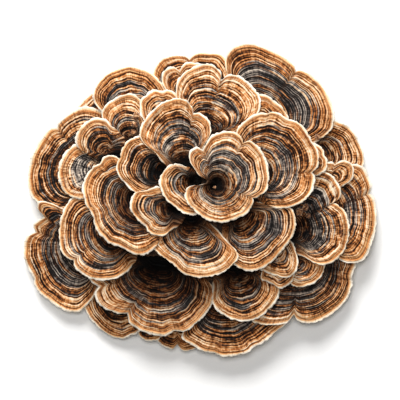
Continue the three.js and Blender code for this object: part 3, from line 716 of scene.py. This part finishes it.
# The bands, from broad to narrow, are paler and rustier near the margin, and darker inwards.
broad = band_noise(0.10, 0.6, 0, 1)
middling = band_noise(0.5, 0.8, 31, 1.5)
narrow = band_noise(1.9, 1.6, 67, 1.5, 0.6)
rings = (growth * 5.2 + broad * 14 + seed).sine()
freshness = 1 - skin.fade(growth, 0.5, 11.0)
level = (rings * 0.07 + middling * 0.62 + narrow * 0.75 + tone + 0.465 + freshness * 0.08
         + sectors * (fibre * 0.3 + 0.08) + (dashes * 0.5 + fibres * 0.5) * (fibre + 0.15)
         + blotches * mottle * 0.8)
warm = skin.ramp(level, [
    (0.28, colour(14, 9, 6)), (0.38, colour(40, 23, 14)), (0.44, colour(82, 48, 28)),
    (0.50, colour(152, 88, 42)), (0.56, colour(204, 134, 74)), (0.64, colour(230, 190, 144)),
    (0.74, colour(242, 222, 194))])
cool = skin.ramp(level, [
    (0.30, colour(8, 7, 7)), (0.41, colour(32, 28, 26)), (0.48, colour(74, 67, 63)),
    (0.55, colour(120, 109, 101)), (0.64, colour(172, 157, 142)), (0.76, colour(222, 205, 184))])
hue = band_noise(0.6, 0.9, 5, 2)
cool_share = skin.fade(grey * 0.75 + hue * 2.3 + broad * 0.8 - 0.36 - freshness * 0.3, -0.12, 0.12)
banded = skin.mix(cool_share, warm, cool)

# The margin is cream, then tan and rust, finely lined, and it ends behind the centre.
edge_vary = skin.noise(skin.vector(way_x * 1.9, way_y * 1.9, seed), 1.0, 1) - 0.5
edge_grain = band_noise(2.4, 3.0, 91, 2, 0.7)
edge_place = (margin + fibres * 1.1 - scallop * 0.9 + edge_grain * 1.6 + edge_vary * 1.8) / 8
edge_band = skin.ramp(edge_place, [
    (0.0, colour(255, 248, 234)), (0.08, colour(252, 236, 210)), (0.14, colour(236, 192, 140)),
    (0.21, colour(206, 132, 70)), (0.26, colour(96, 54, 30)), (0.31, colour(228, 178, 122)),
    (0.38, colour(190, 118, 60))])
edge_lines = skin.ramp(narrow * 0.8 + fibres * 0.8 + 0.5, [
    (0.34, colour(132, 86, 52)), (0.43, colour(204, 160, 116)), (0.52, colour(255, 255, 255))])
edge_lined = skin.fade(margin - scallop * 0.8 + edge_grain, 0.5, 1.3) * 0.75
edge_band = skin.mix(edge_lined, edge_band, edge_lines, "MULTIPLY")
edge_share = (1 - skin.fade(margin + hue * 4 + edge_grain * 2, 2.1, 3.2)) * (1 - plain)
topside = skin.mix(edge_share * 0.9, banded, edge_band)

# Fibres streak the skin, creases are darkened with painted shade, and the heart is painted nearly
# black: partly its own dark stain, partly painted shade under the caps above.
streaks = skin.ramp(fibres + 0.5, [(0.28, colour(120, 104, 92)), (0.48, colour(255, 255, 255))])
topside = skin.mix(fibre * 0.75, topside, streaks, "MULTIPLY")
# Painted shade: the creases are darkened brown.
topside = skin.mix(crease * 0.35, topside, colour(60, 36, 22))
# Painted shade and the heart's own dark stain, multiplied over the skin.
heart_stain_and_shade = skin.ramp(root, [(0.0, colour(255, 255, 255)), (0.5, colour(150, 138, 130)),
                         (0.8, colour(56, 46, 40)), (0.95, colour(12, 9, 8))])
topside = skin.mix(1.0, topside, heart_stain_and_shade, "MULTIPLY")

# The underside is cream, with faint bands and fine pores.
pores = skin.noise(place, 2600.0, 2)
under_bands = band_noise(0.3, 0.8, 12, 2) * skin.fade(reach, 0.03, 0.25)
zones_under = skin.ramp(under_bands + 0.5, [
    (0.35, colour(214, 194, 158)), (0.5, colour(236, 224, 198)), (0.65, colour(226, 208, 174))])
pore_shade = skin.ramp(pores, [(0.36, colour(172, 152, 120)), (0.52, colour(255, 255, 255))])
pored = skin.mix(0.6, zones_under, pore_shade, "MULTIPLY")
skin_colour = skin.mix(under_face, topside, pored)

grain = fibres * 0.6 + narrow * 0.5 + pores * 0.25
skin_bump = skin.add("ShaderNodeBump", {}, {"Strength": 0.9, "Distance": 0.0004, "Height": grain})
cap_skin = skin.end(
    Base_Color=skin_colour,
    Roughness=0.84 - cool_share * 0.2 + under_face * 0.1,
    Specular_IOR_Level=0.12,
    Normal=skin_bump)

first_cap_seed = 100
for number, cap in enumerate(caps):
    cap_piece(cap, first_cap_seed + number)


# ---------------------------------------------------------------- young buds
# Knobs of new growth that have not opened into caps yet. They are soft, blotched from cream
# to rusty brown, and grow in the gaps where caps meet and in the hole of the middle cap.

young = Finish("young_growth")
bud_place = young.add("ShaderNodeTexCoord", out="Object")
bud_blotch = young.noise(bud_place, 900.0, 3, 0.6)
bud_grain = young.noise(bud_place, 4200.0, 2)
bud_colour = young.ramp(bud_blotch, [
    (0.34, colour(40, 22, 13)), (0.46, colour(112, 66, 36)), (0.56, colour(176, 120, 72)),
    (0.68, colour(230, 200, 160))])
bud_bump = young.add("ShaderNodeBump", {}, {
    "Strength": 0.5, "Distance": 0.0003, "Height": bud_grain + bud_blotch})
bud_skin = young.end(Base_Color=bud_colour, Roughness=0.9, Sheen_Weight=0.2, Normal=bud_bump)

lump_waves = 10
lump_height = 0.075
knob_share = 0.42
first_bud_seed = 500

bud_names = sorted(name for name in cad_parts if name.startswith("bud_"))
for number, name in enumerate(bud_names):
    rng = np.random.default_rng(first_bud_seed + number)
    low, high = [np.array(corner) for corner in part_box(name)]
    size = high - low
    bpy.ops.object.select_all(action="DESELECT")
    bpy.ops.mesh.primitive_uv_sphere_add(segments=40, ring_count=28, radius=1)
    piece = bpy.context.object
    piece.name = name + "_knob"
    at = np.empty(len(piece.data.vertices) * 3)
    piece.data.vertices.foreach_get("co", at)
    at = at.reshape(-1, 3)
    lumps = np.ones(len(at))
    for _ in range(lump_waves):
        way = rng.normal(size=3)
        lumps += lump_height * np.sin(at @ way * rng.uniform(1.5, 5) + rng.uniform(0, 6))
    waist = 1 - 0.35 * np.clip(-at[:, 2] - 0.1, 0, 1)
    at[:, :2] *= (lumps * waist)[:, None]
    at[:, 2] *= 0.5 + 0.5 * lumps
    at = (low + high) / 2 + at * size * knob_share
    piece.data.vertices.foreach_set("co", at.ravel())
    bpy.ops.object.shade_smooth()
    piece.data.materials.append(bud_skin)
    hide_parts(name)
    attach(piece, "root")


# ---------------------------------------------------------------- cut base
# The fused flesh that all the caps grew from. It is tough and fibrous, brown outside where it
# shows between the caps, and cut flat underneath, where it came off its log.

low, high = [np.array(corner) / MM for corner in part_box("cut_base")]
base_centre = (low + high)[:2] / 2
base_radius = (high - low)[0] / 2

# Between the roots of the caps the flesh swells up, to a little under whatever hangs over it.
# The swelling is held for each square millimetre of the plan.
clear_gap = 2.2
ray_gap = 0.2
plain_border = 3
tallest_swelling = 12
steepest_swelling = 1.8
corners = []
sides = []
for cap in caps:
    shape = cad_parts[cap.name].data
    sides += [[len(corners) + number for number in side.vertices] for side in shape.polygons]
    corners += [corner.co.copy() for corner in shape.vertices]
hanging = BVHTree.FromPolygons(corners, sides)
squares = np.arange(-math.ceil(base_radius), math.ceil(base_radius) + 1)
swelling = np.zeros((len(squares), len(squares)))
for column, x in enumerate(squares):
    for row, y in enumerate(squares):
        start = dome_height(growth_axis + [x, y]) + ray_gap
        ray_start = Vector((base_centre[0] + x, base_centre[1] + y, start)) * MM
        above = hanging.ray_cast(ray_start, (0, 0, 1))[0]
        if above and math.hypot(x, y) < base_radius - plain_border:
            swelling[column, row] = above.z / MM - start - clear_gap
swelling = np.clip(swelling, 0, tallest_swelling)


def four_beside(values):
    return [np.roll(values, step, side) for step in (-1, 1) for side in (0, 1)]


# First no side is left steeper than the steepest, then the edges are rounded.
for _ in range(tallest_swelling):
    swelling = np.minimum(swelling, np.min(four_beside(swelling), axis=0) + steepest_swelling)
for _ in range(4):
    swelling = np.minimum(swelling, (swelling + sum(four_beside(swelling))) / 5)


def swelling_at(x, y):
    """The swelling x and y millimetres from the middle of the base, between the squares."""
    last = len(squares) - 2
    i, j = [np.clip(np.floor(value).astype(int) - squares[0], 0, last) for value in (x, y)]
    s = x - squares[0] - i
    t = y - squares[0] - j
    return ((swelling[i, j] * (1 - s) + swelling[i + 1, j] * s) * (1 - t)
            + (swelling[i, j + 1] * (1 - s) + swelling[i + 1, j + 1] * s) * t)


foot_radius = 42
base_around = 560
wall_rows = 44
dome_rows = 70
foot_rows = 30
ledge_places = ((0.25, 1.6), (0.5, 2.2), (0.78, 1.9))
ledge_thickness = 0.08
furthest_bulge = 2

# Rows run from the middle of the cut face to its edge, up the wall, and in over the dome. The
# wall is lumpy and shaggy, with ledges, each at a share of its height and standing out so far.
rng = np.random.default_rng(900)
turn = np.linspace(0, 1, base_around + 1)
base_length = 2 * math.pi * base_radius
wall_top = dome_height(growth_axis + [base_radius, 0])
dome_radius = np.linspace(base_radius, 0, dome_rows)[1:]
row_radius = np.concatenate([
    np.linspace(0, foot_radius, foot_rows)[:-1],
    foot_radius + (base_radius - foot_radius) * np.linspace(0, 1, wall_rows) ** 0.8,
    dome_radius])
row_height = np.concatenate([
    np.zeros(foot_rows - 1), wall_top * np.linspace(0, 1, wall_rows),
    [dome_height(growth_axis + [radius, 0]) for radius in dome_radius]])
share = np.clip(row_height / wall_top, 0, 1)
rough = (row_radius / base_radius) ** 3


def wall_ripple(longest, shortest, how_many, height):
    return ripple(rng, turn, base_length, longest, shortest, how_many, height)[:, None]


lumps = wall_ripple(longest=160, shortest=24, how_many=9, height=2.6)
shag = wall_ripple(longest=12, shortest=3, how_many=14, height=0.5)
furrow = wall_ripple(longest=9, shortest=2.5, how_many=12, height=0.4)
ledges = 0
for level, deep in ledge_places:
    shift = wall_ripple(longest=60, shortest=16, how_many=6, height=0.12)
    bulge = 1 + wall_ripple(longest=30, shortest=6, how_many=8, height=0.6)
    shelf = np.exp(-((share - level - shift) / ledge_thickness) ** 2)
    ledges = ledges + deep * bulge * shelf * rough
outward = row_radius * (1 - 0.05 * share) - np.abs(lumps + shag * share) * rough + ledges * (share < 1)
outward = np.minimum(outward, base_radius + furthest_bulge)
around = 2 * math.pi * turn[:, None]
across = outward * np.cos(around)
along = outward * np.sin(around)
base_height = np.maximum(row_height - (0.3 + np.abs(furrow)) * share * np.sin(np.pi * rough), 0)
base_height = base_height + swelling_at(across, along) * (share == 1)
base = wrapped_grid(
    "cut_base_flesh",
    np.dstack([base_centre[0] + across, base_centre[1] + along, base_height]),
    {"ledge": (ledges, 0, 0)})

flesh = Finish("fused_flesh")
flesh_place = flesh.add("ShaderNodeTexCoord", out="Object")
flesh_height = flesh.add("ShaderNodeSeparateXYZ", {}, {"Vector": flesh_place}, "Z")
ledge = flesh.parts("ledge")[0]
strands = flesh.noise(flesh_place, 700.0, 4, 0.65)
patches = flesh.noise(flesh_place, 120.0, 3, 0.6)
# Painted highlight: the crust is painted paler where the ledges stand out.
crust = flesh.ramp(strands * 0.6 + patches * 0.4 + ledge * 0.04 - 0.02, [
    (0.36, colour(26, 17, 12)), (0.48, colour(58, 38, 25)), (0.58, colour(104, 72, 46)),
    (0.7, colour(160, 122, 84))])
cut_flesh = flesh.ramp(strands * 0.5 + patches * 0.5, [
    (0.36, colour(150, 112, 74)), (0.48, colour(206, 178, 136)), (0.62, colour(232, 214, 182))])
flesh_bump = flesh.add("ShaderNodeBump", {}, {
    "Strength": 0.7, "Distance": 0.0008, "Height": strands + patches})
base.data.materials.append(flesh.end(
    Base_Color=flesh.mix(flesh.fade(flesh_height, 0.0002, 0.003), cut_flesh, crust),
    Roughness=0.92, Normal=flesh_bump))
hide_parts("cut_base")
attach(base, "root")
